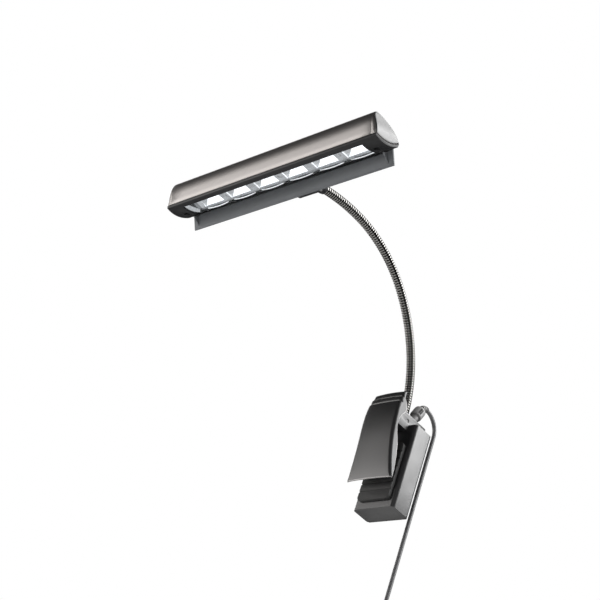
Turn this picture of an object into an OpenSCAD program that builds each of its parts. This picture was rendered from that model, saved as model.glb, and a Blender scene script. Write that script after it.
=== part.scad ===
// Clip-on reading lamp with a slim six-light head, a gooseneck and a spring clip.
// Origin: centre of the rear jaw pad's grip face. X runs along the edge that is clamped,
// -Y points away from the plate towards the reader, +Z runs up the plate.

/* [Head] */
// Length of the lamp head over its end caps
head_len = 196; // [170:1:220]
// Depth of the head, front edge to rear edge
head_depth = 22.7; // [22:0.1:24]
// Height of the head shell above its lower edge
head_height = 17.2; // [16.5:0.1:18]
// Tilt of the head, rear edge up
head_tilt = 22.8; // [15:0.1:28]
// Front lower edge of the head: distance in front of the jaw face
head_y = -183.8; // [-190:0.1:-178]
// Front lower edge of the head: height above the grip centre
head_z = 119.4; // [112:0.1:124]
// Wall of the head shell
shell_wall = 1.6; // [1.2:0.1:2]
// Thickness of each end cap
cap_thick = 4.4; // [3:0.1:5]
// Height of the glare shield that hangs from the rear edge
shield_height = 11; // [7:0.1:13]
// Distance between neighbouring lights
led_pitch = 27.2; // [25:0.1:27.4]

/* [Gooseneck] */
// Outer diameter of the gooseneck
neck_d = 6.4; // [5.6:0.1:6.4]
// Bend radius of the lower stretch
neck_r1 = 113; // [105:1:120]
// Bend radius of the middle stretch
neck_r2 = 93; // [88:1:98]
// Bend radius of the upper stretch
neck_r3 = 140; // [135:1:145]
// Gap between two neck segments, for bending
neck_gap = 1.1; // [1:0.05:1.4]

/* [Clip] */
// Half width of the lever at its lower edge
lever_half_low = 20; // [19:0.1:21]
// Half width of the lever at its waist
lever_half_mid = 15.7; // [15.5:0.1:16.5]
// Half width of the lever at its top
lever_half_top = 14.2; // [14.1:0.1:14.6]
// Wall of the lever
lever_wall = 2; // [1.6:0.1:2.2]
// Thickness of the plate that the jaws hold
grip_gap = 3; // [2.5:0.1:3.5]
// Diameter of the lever's hinge pin
pin_d = 3.9; // [3:0.1:3.9]
// Radial clearance of the hinge pin
pin_clear = 0.08; // [0.04:0.01:0.1]

/* [Housing] */
// Width of the battery housing
house_w = 36; // [36:0.5:38]
// Bottom of the battery housing
house_low = -27; // [-30:0.5:-27]
// Top of the battery housing
house_top = 38; // [38:0.5:39]
// Width of the saddle that passes over the plate
saddle_w = 21; // [21:0.1:21.4]
// Diameter of an AAA cell
cell_d = 10.5; // [10:0.1:10.5]
// Length of an AAA cell
cell_len = 44.5; // [43:0.1:44.5]

/* [Cord] */
// Diameter of the power cord
cord_d = 3; // [2.6:0.1:3]
// Mean radius of the tied coil
coil_r = 18; // [17:0.5:19]
// Radius of the coil's bundle
bundle_r = 7; // [6:0.1:7.2]
// Width of the mains adapter
adapter_w = 42; // [38:1:50]
// Depth of the mains adapter
adapter_t = 28; // [26:1:32]
// Length of the mains adapter
adapter_len = 60; // [50:1:70]

/* [Hidden] */
$fn = 48;

// ---- general helpers ----

// Points of a quadratic curve from a to c that leans towards b.
function bend(a, b, c, n) =
    [for (i = [0:n]) let (t = i / n) (1 - t) * (1 - t) * a + 2 * t * (1 - t) * b + t * t * c];

// Extrudes a (Y, Z) outline along X, centred on X = 0.
module along_x(width) {
    rotate([90, 0, 90]) linear_extrude(width, center = true) children();
}

// Rectangle with round corners, centred on the origin.
module round_rect(w, h, r) {
    square([w - 2 * r, h], center = true);
    square([w, h - 2 * r], center = true);
    for (sx = [-1, 1], sy = [-1, 1])
        translate([sx * (w / 2 - r), sy * (h / 2 - r)]) circle(r);
}

module box(low, high) {
    translate(low) cube(high - low);
}

// Round tube along a route. side holds one unit vector across the route at each point.
module swept_tube(route, side, r, sides) {
    last = len(route) - 1;
    ahead = [for (i = [0:last]) route[min(i + 1, last)] - route[max(i - 1, 0)]];
    across = [for (i = [0:last]) let (c = cross(ahead[i], side[i])) c / norm(c)];
    ring_points = [for (i = [0:last], k = [0:sides - 1])
        route[i] + r * (cos(360 * k / sides) * side[i] + sin(360 * k / sides) * across[i])];
    walls = [for (i = [0:last - 1], k = [0:sides - 1]) let (next = (k + 1) % sides)
        [i * sides + k, i * sides + next, (i + 1) * sides + next, (i + 1) * sides + k]];
    start_face = [[for (k = [0:sides - 1]) sides - 1 - k]];
    end_face = [[for (k = [0:sides - 1]) last * sides + k]];
    polyhedron(ring_points, concat(walls, start_face, end_face));
}

// ---- gooseneck centre line: three arcs in the plane X = 0 ----
neck_foot = [5.8, 45];
neck_angle_1 = 50;
neck_angle_2 = 90;
neck_angle_3 = 105.5;
joint_angles = [20, 50, 70, 90];
function heading(a) = [cos(a), sin(a)];
centre_1 = neck_foot - neck_r1 * heading(0);
centre_2 = centre_1 + (neck_r1 - neck_r2) * heading(neck_angle_1);
centre_3 = centre_2 + (neck_r2 - neck_r3) * heading(neck_angle_2);
arcs = [
    [centre_1, neck_r1, 0, neck_angle_1],
    [centre_2, neck_r2, neck_angle_1, neck_angle_2],
    [centre_3, neck_r3, neck_angle_2, neck_angle_3]
];
neck_end = centre_3 + neck_r3 * heading(neck_angle_3);
ferrule_len = 12;
neck_tail = 8;
crimp = 0.12;
neck_bore = 3.4;
wire_d = 2.4;

// ---- head frame: u runs from the front edge to the rear edge, v is up from the underside ----
half_len = head_len / 2;
module in_head() {
    translate([0, head_y, head_z]) rotate([head_tilt, 0, 0]) children();
}

head_front = bend([0, 6.5], [0.2, head_height - 0.3], [6, head_height], 8);
head_back = bend([6, head_height], [15.4, 14], [head_depth, 0.3], 12);
head_under = bend([head_depth, 0.3], [12.5, -5.6], [0, 0], 12);
head_outline = concat(head_front, head_back, head_under);
inner_front = bend([shell_wall, 7], [shell_wall + 0.2, head_height - shell_wall - 0.4],
    [6.2, head_height - shell_wall], 8);
inner_back = bend([6.2, head_height - shell_wall], [14.6, 12.4],
    [head_depth - shell_wall - 0.6, 0.3], 12);
window_half = 84;
window_front = 3.2;
window_rear = 19.2;
tray_top = 5.2;
screw_x = 89.3;
screw_u = 11.4;
screw_v = -4.25;

// ---- clip ----
pivot = [-11.5, 42];
saddle_low = 33.2;
saddle_top = 43.6;
cover_top = 45.2;
spring_slot = 12.4;
plug_x = 6.6;
plug_base = [8.2, cover_top];
plug_lean = 24;

// Front of the lever from its lower edge to its grip ridges, as (Y, Z).
lever_front = concat(
    bend([-9.6, -11.3], [-11.9, -4.5], [-13.1, 4], 6),
    bend([-13.2, 5], [-15.1, 16], [-16.6, 24], 6),
    bend([-16.8, 25], [-18, 34], [-16.7, 45.6], 7),
    [[-15.2, 46], [-15.9, 46.9], [-15.7, 50.2], [-14.2, 50.6], [-14.7, 51.5], [-14.3, 54.8],
     [-13.1, 56]]
);
// Rear edge of the lever's side flanges, from the top down.
lever_rear = [[-11.3, 55], [-12, 50.4], [-9, 47.6], [-7.6, 44], [-7.8, 40.4], [-10.6, 38.2],
    [-12.4, 33], [-12.4, 27], [-7.6, 15], [-6.4, 6], [-6.4, -5], [-7.6, -11.4]];
// Inside of the lever's front wall, from its lower edge up, closed behind the flanges.
lever_inside = concat(
    [[20, -14], [-7.1, -14]],
    bend([-7.7, -10.6], [-9.9, -4], [-11.2, 5], 6),
    bend([-11.4, 6], [-13.2, 16], [-14.6, 24], 6),
    bend([-14.8, 25.3], [-16, 34], [-14.9, 44], 6),
    [[-13.9, 46.6], [-13.3, 51], [-12.6, 53.6], [20, 53.6]]
);
function lever_outline(inset) = let (
    side = concat(
        [[lever_half_low - 0.8 - inset, -15]],
        bend([lever_half_low - inset, -10.4], [lever_half_mid + 0.6 - inset, 6],
            [lever_half_mid - inset, 22], 8),
        [[lever_half_mid - 0.3 - inset, 36], [lever_half_top + 0.4 - inset, 50],
         [lever_half_top - 0.8 - inset, 57]]))
    concat(side, [for (i = [len(side) - 1:-1:0]) [-side[i][0], side[i][1]]]);

// ---- cord route, from the crown of the strain relief down to the coil ----
relief_r = 6;
relief_start = plug_base + 14.2 * [sin(plug_lean), cos(plug_lean)];
relief_centre = relief_start + relief_r * [cos(plug_lean), -sin(plug_lean)];
cord_x = plug_x;
cord_y = 34;
coil_centre = [cord_y, -132];
lead_route = [
    [cord_x, 19.85, 61.7], [cord_x, 21.8, 61.6], [cord_x, 24, 61.1], [cord_x, 26.2, 60.2],
    [cord_x, 28.3, 58.9], [cord_x, 30.2, 57.2], [cord_x, 31.8, 55.1], [cord_x, 33, 52.7],
    [cord_x, 33.8, 49.8], [cord_x, cord_y, 46.5], [cord_x, cord_y, 40], [cord_x, cord_y, 30],
    [cord_x, cord_y, 15], [cord_x, cord_y, 0], [cord_x, cord_y, -15], [cord_x, cord_y, -30],
    [cord_x, cord_y, -45], [cord_x, cord_y, -60], [cord_x, cord_y, -75], [cord_x, cord_y, -90],
    [cord_x, cord_y, -105]
];
tie_r = 8.8;
coil_low = coil_centre[1] - coil_r - bundle_r;
tail_end = coil_low - 14;
adapter_relief_len = 12;
adapter_top = tail_end - adapter_relief_len;
tail_route = [
    [cord_x, cord_y, coil_low - 0.1], [cord_x, cord_y, coil_low - 7], [cord_x, cord_y, tail_end]
];

// ---- gooseneck ----

// The stretch of the gooseneck between two headings, as a ring section of radius r.
module neck_run(from, to, r) {
    for (arc = arcs) {
        low = max(from, arc[2]);
        high = min(to, arc[3]);
        if (high > low)
            translate([0, arc[0][0], arc[0][1]]) rotate([90, 0, 90]) rotate([0, 0, low])
                rotate_extrude(angle = high - low) translate([arc[1], 0]) circle(r);
    }
}

half_gap = neck_gap / 2 / neck_r2 * 180 / PI;
function run_from(i) = i == 0 ? 0 : joint_angles[i - 1] + half_gap;
function run_to(i) = i == 4 ? neck_angle_3 : joint_angles[i] - half_gap;

// Straight piece before the first arc (first segment) and after the last arc (last segment),
// where it is crimped a little thinner to go into the ferrule.
module neck_ends(i, r) {
    if (i == 0)
        translate([0, neck_foot[0], 37]) cylinder(h = neck_foot[1] - 37, r = r);
    if (i == 4)
        translate([0, neck_end[0], neck_end[1]]) rotate([neck_angle_3, 0, 0])
            translate([0, 0, -1]) cylinder(h = neck_tail + 1, r = r - crimp);
}

module neck_segment(i) {
    color("silver") difference() {
        union() {
            neck_run(run_from(i), run_to(i), neck_d / 2);
            neck_ends(i, neck_d / 2);
        }
        neck_run(run_from(i) - 0.01, run_to(i) + 0.01, neck_bore / 2);
        neck_ends(i, neck_bore / 2);
    }
}

module neck_wire(i) {
    color("dimgray") union() {
        neck_run(run_from(i), run_to(i), wire_d / 2);
        neck_ends(i, wire_d / 2);
    }
}

// ---- clip: fixed side ----

module saddle_profile() {
    translate(pivot) circle(3.2);
    polygon([[-13, saddle_low], [20, saddle_low], [20, saddle_top], [-11, saddle_top],
        [-14.4, pivot[1]], [-14.4, 38]]);
}

module rear_housing() {
    color([0.09, 0.09, 0.1]) difference() {
        union() {
            translate([0, 12, house_low]) linear_extrude(house_top - house_low) round_rect(house_w, 18, 3);
            along_x(saddle_w) saddle_profile();
        }
        // battery bay, open to the rear
        box([-15.9, 5, -23], [15.9, 19.6, 27]);
        box([-15, 5, -22], [15, 22, 27]);
        // room for the driver board above the cells
        box([-9.3, 5, 26], [9.3, 17, 34.5]);
        // room for the jack and the neck foot
        box([-9.3, 1.5, 37], [9.3, 17, saddle_top + 1]);
        // slide for the battery door, wide behind its two lips
        box([-16.6, 19.6, house_low - 1], [16.6, 20.4, 30.2]);
        box([-15.6, 20.3, house_low - 1], [15.6, 22, 30.2]);
        // opening between the two hinge lugs, for the spring
        box([-spring_slot / 2, -18, 35], [spring_slot / 2, -6.6, 48]);
        // hinge bore
        translate([0, pivot[0], pivot[1]]) rotate([0, 90, 0])
            cylinder(h = saddle_w + 2, d = pin_d + 2 * pin_clear, center = true);
        // shallow dimple in the saddle's side
        translate([saddle_w / 2 - 0.5, 0.5, 40]) rotate([0, 90, 0]) cylinder(h = 2, d = 3);
        // wire hole under the neck
        translate([0, neck_foot[0], 33]) cylinder(h = 6, d = neck_bore);
    }
}

module top_cover() {
    color([0.09, 0.09, 0.1]) difference() {
        along_x(saddle_w) polygon([[-6, saddle_top + 0.05], [20, saddle_top + 0.05],
            [20, cover_top - 0.6], [19.4, cover_top], [-5.4, cover_top], [-6, cover_top - 0.6]]);
        translate([0, neck_foot[0], 40]) cylinder(h = 8, d = neck_d + 0.1);
        on_plug_axis() translate([0, 0, -6]) cylinder(h = 12, d = 6.3);
    }
}

module rear_jaw_pad() {
    color([0.13, 0.13, 0.13]) difference() {
        translate([0, 1.5, 0]) rotate([90, 0, 0]) linear_extrude(3, center = true) round_rect(28, 44, 3);
        for (z = [-15:6:15]) box([-15, -1, z - 0.5], [15, 0.6, z + 0.5]);
    }
}

module battery(i) {
    x = (i - 1) * (cell_d + 0.1);
    color([0.55, 0.56, 0.58]) translate([x, 12, -20]) {
        cylinder(h = cell_len - 1, d = cell_d);
        translate([0, 0, cell_len - 1.01]) cylinder(h = 1.01, d = 3.8);
    }
}

module contact_plate_top() {
    color([0.75, 0.72, 0.6]) box([-14.5, 7, 24.7], [14.5, 17, 25.3]);
}

module contact_plate_low() {
    color([0.75, 0.72, 0.6]) union() {
        box([-14.5, 7, -21.9], [14.5, 17, -21.4]);
        for (i = [-1:1]) translate([i * (cell_d + 0.1), 12, -21.5])
            cylinder(h = 1.3, r1 = 3.4, r2 = 1.6, $fn = 24);
    }
}

module driver_board() {
    color([0.1, 0.35, 0.2]) union() {
        box([-8.8, 6, 29.4], [8.8, 16.4, 31]);
        box([-6, 8, 30.9], [-1, 13, 32.6]);
        translate([4, 11, 30.9]) cylinder(h = 3, d = 4);
    }
}

// Axis of the power jack and plug: it leans back from the cover.
module on_plug_axis() {
    translate([plug_x, plug_base[0], plug_base[1]]) rotate([-plug_lean, 0, 0]) children();
}

module dc_jack() {
    color([0.05, 0.05, 0.05]) on_plug_axis() union() {
        difference() {
            translate([0, 0, -7.2]) cylinder(h = 7.2, d = 5.2);
            translate([0, 0, -6.4]) cylinder(h = 8, d = 3.66);
        }
        translate([0, 0, -6.6]) cylinder(h = 4.9, d = 1.1);
    }
}

module pivot_pin() {
    color([0.7, 0.7, 0.72]) translate([0, pivot[0], pivot[1]]) rotate([0, 90, 0])
        cylinder(h = 2 * lever_half_top + 1.2, d = pin_d, center = true);
}

spring_turns = 7;
spring_r = 2.8;
spring_wire = 0.5;
spring_steps = 10;
module lever_spring() {
    count = spring_turns * spring_steps;
    coil = [for (i = [0:count]) let (a = 360 * i / spring_steps - 90)
        [-4.9 + 9 * i / count, pivot[0] + spring_r * cos(a), pivot[1] + spring_r * sin(a)]];
    coil_side = [for (i = [0:count]) let (a = 360 * i / spring_steps - 90) [0, cos(a), sin(a)]];
    leg = [[-4.9, pivot[0] + 4.2, pivot[1] - spring_r]];
    color([0.6, 0.6, 0.62]) swept_tube(concat(leg, coil), concat([[0, 0, -1]], coil_side),
        spring_wire, 6);
}

// ---- clip: battery door and lever ----

module battery_door() {
    color([0.09, 0.09, 0.1]) difference() {
        union() {
            box([-16.4, 19.75, house_low + 0.1], [16.4, 20.25, 30]);
            box([-15.4, 20.2, house_low + 0.1], [15.4, 21, 30]);
        }
        for (z = [-20:2.4:-8]) box([-8, 20.6, z], [8, 22, z + 1.2]);
    }
}

module clip_lever() {
    color([0.07, 0.07, 0.08]) difference() {
        intersection() {
            along_x(50) polygon(concat(lever_front, lever_rear));
            rotate([90, 0, 0]) linear_extrude(60, center = true) polygon(lever_outline(0));
        }
        intersection() {
            along_x(50) polygon(lever_inside);
            rotate([90, 0, 0]) linear_extrude(60, center = true) polygon(lever_outline(lever_wall));
        }
        translate([0, pivot[0], pivot[1]]) rotate([0, 90, 0])
            cylinder(h = 50, d = pin_d + 2 * pin_clear, center = true);
    }
}

module lever_jaw_pad() {
    color([0.13, 0.13, 0.13]) difference() {
        along_x(30) polygon([[-grip_gap, -6.4], [-grip_gap, 1.4], [-grip_gap - 1.2, 3.4], [-8.2, 3.6],
            [-9.8, -2], [-8.6, -6.4]]);
        for (z = [-4.6:2.4:0.8]) box([-20, -grip_gap - 0.5, z], [20, 0, z + 0.7]);
    }
}

module spring_arm() {
    color([0.6, 0.6, 0.62]) translate([5.4, pivot[0] - spring_r, pivot[1]])
        rotate([-14, 0, 0]) cylinder(h = 6, r = spring_wire);
}

// ---- head ----

module neck_ferrule() {
    color([0.08, 0.08, 0.09]) translate([0, neck_end[0], neck_end[1]]) rotate([neck_angle_3, 0, 0])
        difference() {
            union() {
                translate([0, 0, 1]) cylinder(h = ferrule_len - 1, d = 8.4);
                cylinder(h = 2, d = 7.8);
            }
            translate([0, 0, -1]) cylinder(h = neck_tail + 1.1, d = neck_d + 0.1);
            cylinder(h = ferrule_len + 1, d = neck_bore);
        }
}

mount_half = 10;
mount_v = -1.4;
button_u = 33;
button_d = 8;
mount_rear = 46.6;
mount_profile = concat(
    [[17, 2], [23.3, 2], [25, -0.6], [44, -0.8]], bend([45.4, -0.7], [46.6, -0.4], [mount_rear, 2], 4),
    bend([mount_rear, 12], [46.4, 14.8], [43, 15], 4), [[24, 15], [6, 15]]
);

module neck_mount() {
    color([0.08, 0.08, 0.09]) in_head() difference() {
        translate([0, 0, mount_v]) along_x(2 * mount_half) polygon(mount_profile);
        along_x(2 * mount_half + 2) polygon(head_outline);
        translate([0, 0, mount_v]) {
            box([-8.2, 24.5, 2.2], [8.2, 42.4, 16]);
            box([-9.1, 23.4, 13.4], [9.1, 43.5, 16]);
            translate([0, 50, 8.9]) rotate([90, 0, 0]) cylinder(h = 8, d = neck_bore);
            translate([0, 26, 7.4]) rotate([90, 0, 0]) cylinder(h = 12, d = neck_bore);
        }
    }
}

module mount_lid() {
    color([0.08, 0.08, 0.09]) in_head() translate([0, 0, mount_v]) difference() {
        box([-9, 23.5, 13.45], [9, 43.4, 15]);
        translate([0, button_u, 10]) cylinder(h = 8, d = button_d + 0.3);
    }
}

module head_shell() {
    inner = concat(inner_front, inner_back);
    lower = [[head_depth, 0.3]];
    color([0.16, 0.155, 0.15]) in_head() along_x(head_len - 2 * cap_thick) polygon(concat(
        [[0, 0.1]], head_front, head_back, lower,
        [for (i = [len(inner) - 1:-1:0]) inner[i]], [[shell_wall, 0.1]]));
}

// Height and reach of a cap's outer face: it leans inwards towards its top.
cap_face = concat([[0, -4]], [for (v = [-4, 2, 5, 8, 11, 14, 17, 19]) [cap_reach(v), v]], [[0, 19]]);
function cap_reach(v) = half_len - 0.01 - (cap_thick - 0.3) * pow(max(0, v - 2) / 15.2, 1.8);

module end_cap(side) {
    color([0.75, 0.74, 0.73]) in_head() union() {
        intersection() {
            translate([side * (half_len - cap_thick / 2), 0, 0]) along_x(cap_thick - 0.02) polygon(head_outline);
            translate([0, 30, 0]) rotate([90, 0, 0]) linear_extrude(40)
                polygon([for (p = cap_face) [side * p[0], p[1]]]);
        }
        translate([side * (half_len - cap_thick - 1), 0, 0]) along_x(2.02)
            polygon([[2.4, 1.2], [2.4, 9.6], [4.8, 13.8], [11.4, 10.8], [18, 3], [18.6, 1.2]]);
    }
}

bezel_low = concat([[0.1, -1.9]], bend([0.5, -2.1], [9.5, -7.4], [21.2, -2.8], 12));

module bezel() {
    color([0.1, 0.1, 0.11]) in_head() difference() {
        along_x(head_len) polygon(concat([for (p = head_under) p - [0, 0.05]], bezel_low));
        box([-window_half, window_front, -9], [window_half, window_rear, 4]);
        for (side = [-1, 1]) translate([side * screw_x, screw_u, screw_v - 5]) {
            cylinder(h = 12, d = 2.1);
            cylinder(h = 5.75, d = 4.3);
        }
    }
}

module glare_shield() {
    shield_half = 93.2;
    color([0.1, 0.1, 0.11]) in_head() union() {
        along_x(2 * shield_half) polygon([[21.5, -2.7], [22.9, -1], [24.1, -1.9 - shield_height],
            [22.9, -2 - shield_height]]);
        for (side = [-1, 1]) translate([side * (shield_half - 4.4), 0, 0]) along_x(1.2)
            polygon([[17.4, -4.4], [20.9, -3.25], [21.6, -2.8], [23.1, -0.6 - shield_height]]);
    }
}

// Clear window: it follows the curve of the underside inside the bezel's opening.
module window() {
    color([0.9, 0.95, 1, 0.4]) in_head() along_x(2 * window_half - 0.4) polygon(concat(
        bend([window_rear - 0.2, -2], [10, -4.5], [window_front + 0.2, -1.7], 8),
        bend([window_front + 0.2, -2.6], [10, -5.4], [window_rear - 0.2, -2.9], 8)));
}

module reflector() {
    color([0.8, 0.81, 0.83]) in_head() difference() {
        along_x(2 * window_half - 1) polygon([[3.5, -0.7], [18.4, -0.9], [17, tray_top], [3.5, tray_top]]);
        for (i = [0:5]) translate([(i - 2.5) * led_pitch, 0, 0])
            along_x(led_pitch - 1.6) polygon([[4.3, -2], [17.4, -2], [15.8, 6], [4.3, 6]]);
    }
}

module led_board() {
    color([0.9, 0.9, 0.88]) in_head() box([-83, 3.4, tray_top + 0.05], [83, 16.4, tray_top + 1.25]);
}

module led(i) {
    color([1, 1, 0.96]) in_head() translate([(i - 3.5) * led_pitch, 10.2, 0])
        box([-2.5, -2.5, tray_top - 1.3], [2.5, 2.5, tray_top]);
}

module bezel_screw(side) {
    color([0.2, 0.2, 0.2]) in_head() translate([side * screw_x, screw_u, screw_v])
        difference() {
            union() {
                cylinder(h = 0.7, d = 3.9);
                cylinder(h = 7.6, d = 1.9);
            }
            box([-0.4, -1.4, -0.3], [0.4, 1.4, 0.35]);
            box([-1.4, -0.4, -0.3], [1.4, 0.4, 0.35]);
        }
}

module switch_body() {
    color([0.2, 0.2, 0.22]) in_head() translate([0, 0, mount_v])
        box([-5, button_u - 5, 2.25], [5, button_u + 5, 9.6]);
}

module switch_button() {
    color([0.35, 0.35, 0.37]) in_head() translate([0, button_u, mount_v]) {
        translate([0, 0, 11.4]) cylinder(h = 5, d = button_d);
        translate([0, 0, 10.9]) cylinder(h = 1.2, d = button_d + 1.6);
    }
}

// ---- cord and adapter ----

module dc_plug() {
    color([0.12, 0.12, 0.12]) on_plug_axis() difference() {
        union() {
            translate([0, 0, 5.2]) cylinder(h = 9, d = 8.8);
            translate([0, 0, 0.05]) cylinder(h = 5.2, d = 6);
            translate([0, 0, -6.2]) cylinder(h = 6.4, d = 3.5);
        }
        translate([0, 0, -6.3]) cylinder(h = 6.3, d = 1.35);
    }
}

module plug_relief() {
    color([0.12, 0.12, 0.12]) translate([plug_x, relief_centre[0], relief_centre[1]])
        rotate([90, 0, 90]) rotate([0, 0, 90.05]) rotate_extrude(angle = 90 - plug_lean - 0.1)
            translate([relief_r, 0]) circle(2.6);
}

module cord_lead() {
    color([0.15, 0.15, 0.15])
        swept_tube(lead_route, [for (p = lead_route) [1, 0, 0]], cord_d / 2, 8);
}

module cord_coil() {
    color([0.15, 0.15, 0.15]) translate([cord_x, coil_centre[0], coil_centre[1]]) rotate([90, 0, 0])
        rotate_extrude() translate([coil_r, 0]) circle(bundle_r);
}

module cord_tail() {
    color([0.15, 0.15, 0.15])
        swept_tube(tail_route, [for (p = tail_route) [1, 0, 0]], cord_d / 2, 8);
}

module cord_tie() {
    color([0.05, 0.05, 0.05]) translate([cord_x - coil_r, coil_centre[0], coil_centre[1]])
        difference() {
            cylinder(h = 7, r = tie_r, center = true);
            cylinder(h = 8, r = tie_r - 1, center = true);
        }
}

module adapter_relief() {
    color([0.12, 0.12, 0.12]) translate([cord_x, cord_y, adapter_top])
        cylinder(h = adapter_relief_len - 0.05, r1 = 3.6, r2 = 2.2, $fn = 32);
}

module mains_adapter() {
    color([0.12, 0.12, 0.12]) translate([cord_x, cord_y, adapter_top - adapter_len])
        linear_extrude(adapter_len - 0.05) round_rect(adapter_w, adapter_t, 4);
}

module adapter_pin(side) {
    color([0.8, 0.8, 0.8]) translate([cord_x + side * 9.5, cord_y + adapter_t / 2 + 0.02,
        adapter_top - adapter_len * 0.6]) rotate([-90, 0, 0]) cylinder(h = 19, d = 4);
}

rear_housing();
top_cover();
rear_jaw_pad();
battery(0);  // battery_1
battery(1);  // battery_2
battery(2);  // battery_3
contact_plate_top();
contact_plate_low();
driver_board();
dc_jack();
pivot_pin();
lever_spring();
neck_segment(0);  // neck_segment_1
neck_segment(1);  // neck_segment_2
neck_segment(2);  // neck_segment_3
neck_segment(3);  // neck_segment_4
neck_segment(4);  // neck_segment_5
neck_wire(0);  // neck_wire_1
neck_wire(1);  // neck_wire_2
neck_wire(2);  // neck_wire_3
neck_wire(3);  // neck_wire_4
neck_wire(4);  // neck_wire_5
battery_door();
clip_lever();
lever_jaw_pad();
spring_arm();
neck_ferrule();
neck_mount();
mount_lid();
head_shell();
end_cap(-1);  // end_cap_left
end_cap(1);  // end_cap_right
bezel();
glare_shield();
window();
reflector();
led_board();
led(1);  // led_1
led(2);  // led_2
led(3);  // led_3
led(4);  // led_4
led(5);  // led_5
led(6);  // led_6
bezel_screw(-1);  // bezel_screw_left
bezel_screw(1);  // bezel_screw_right
switch_body();
switch_button();
dc_plug();
plug_relief();
cord_lead();
cord_coil();
cord_tail();
cord_tie();
adapter_relief();
mains_adapter();
adapter_pin(-1);  // adapter_pin_left
adapter_pin(1);  // adapter_pin_right
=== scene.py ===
import bisect
import math

import bmesh
import bpy
from mathutils import Matrix, Vector


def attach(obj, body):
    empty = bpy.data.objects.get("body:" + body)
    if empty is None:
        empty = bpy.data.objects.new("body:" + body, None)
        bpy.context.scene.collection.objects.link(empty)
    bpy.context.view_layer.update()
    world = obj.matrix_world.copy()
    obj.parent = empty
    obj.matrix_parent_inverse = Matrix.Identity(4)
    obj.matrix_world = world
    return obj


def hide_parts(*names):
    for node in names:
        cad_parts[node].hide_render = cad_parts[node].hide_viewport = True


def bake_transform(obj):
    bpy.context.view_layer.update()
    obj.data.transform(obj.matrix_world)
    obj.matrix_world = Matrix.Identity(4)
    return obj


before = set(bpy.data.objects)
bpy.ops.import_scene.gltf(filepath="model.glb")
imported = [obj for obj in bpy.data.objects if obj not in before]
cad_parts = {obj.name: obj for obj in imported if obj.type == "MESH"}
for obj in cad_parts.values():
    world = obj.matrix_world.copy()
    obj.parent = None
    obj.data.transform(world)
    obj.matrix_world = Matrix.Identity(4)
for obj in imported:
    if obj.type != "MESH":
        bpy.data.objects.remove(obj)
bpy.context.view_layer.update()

MM = 0.001


# ---------------------------------------------------------------- camera
# Where the camera stands, in metres, and which way its right side, its top and its back face.
CAMERA_AT = Vector((0.5786, -0.5601, -0.4030))
CAMERA_RIGHT = Vector((0.71985, 0.62576, 0.30039))
CAMERA_UP = Vector((0.18242, -0.58810, 0.78795))
CAMERA_BACK = Vector((0.66972, -0.51241, -0.53750))
FOCAL_LENGTH = 78
SENSOR_WIDTH = 36
NEAR_CLIP = 0.05

camera_data = bpy.data.cameras.new("camera")
camera_data.lens = FOCAL_LENGTH
camera_data.sensor_width = SENSOR_WIDTH
camera_data.clip_start = NEAR_CLIP
camera_data.dof.use_dof = False
camera = bpy.data.objects.new("camera", camera_data)
bpy.context.scene.collection.objects.link(camera)
camera.matrix_world = Matrix.Translation(CAMERA_AT) @ Matrix(
    (CAMERA_RIGHT, CAMERA_UP, CAMERA_BACK)).transposed().to_4x4()
bpy.context.scene.camera = camera


# ---------------------------------------------------------------- materials
COAT_ROUGHNESS = 0.12
GLOW_COLOUR = (0.93, 0.97, 1.0, 1)
ACRYLIC_IOR = 1.49


class Nodes:
    """A few lines of node wiring shared by every material."""

    def __init__(self, name):
        self.material = bpy.data.materials.new(name)
        self.material.use_nodes = True
        self.tree = self.material.node_tree
        self.shader = self.tree.nodes["Principled BSDF"]
        self.place = self.add("ShaderNodeTexCoord").outputs["Object"]

    def add(self, kind, **inputs):
        node = self.tree.nodes.new(kind)
        for key, value in inputs.items():
            node.inputs[key].default_value = value
        return node

    def link(self, out, into):
        self.tree.links.new(out, into)

    def drive(self, name, out):
        """Links an output to one of the shader's inputs."""
        self.link(out, self.shader.inputs[name])

    def fix(self, **inputs):
        """Sets shader inputs that are the same all over; an underscore stands for a space."""
        for key, value in inputs.items():
            self.shader.inputs[key.replace("_", " ")].default_value = value

    def noise(self, scale, detail=3.0, roughness=0.55, stretch=None):
        node = self.add("ShaderNodeTexNoise", Scale=scale, Detail=detail, Roughness=roughness)
        if stretch:
            mapping = self.add("ShaderNodeMapping", Scale=stretch)
            self.link(self.place, mapping.inputs["Vector"])
            self.link(mapping.outputs["Vector"], node.inputs["Vector"])
        else:
            self.link(self.place, node.inputs["Vector"])
        return node.outputs["Fac"]

    def mesh_value(self, name):
        """The values of that name that the mesh carries."""
        node = self.add("ShaderNodeAttribute")
        node.attribute_name = name
        return node.outputs["Fac"]

    def spread(self, value, low, high, start=0.3, end=0.7):
        """value, from start to end, mapped to low to high."""
        node = self.add("ShaderNodeMapRange")
        for key, number in zip(("From Min", "From Max", "To Min", "To Max"), (start, end, low, high)):
            node.inputs[key].default_value = number
        self.link(value, node.inputs["Value"])
        return node.outputs["Result"]

    def shades(self, value, dark, light):
        """From dark to light as value runs from 0 to 1; each is a colour or another node's output."""
        node = self.add("ShaderNodeMix")
        node.data_type = "RGBA"
        self.link(value, node.inputs["Factor"])
        for key, shade in (("A", dark), ("B", light)):
            if isinstance(shade, tuple):
                node.inputs[key].default_value = (*shade, 1)
            else:
                self.link(shade, node.inputs[key])
        return node.outputs["Result"]

    def bump(self, height, strength, distance):
        """Fine relief; distance is in metres."""
        node = self.add("ShaderNodeBump", Strength=strength, Distance=distance)
        self.link(height, node.inputs["Height"])
        self.drive("Normal", node.outputs["Normal"])


def scaled(colour, factor):
    return tuple(min(1.0, c * factor) for c in colour)


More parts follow.
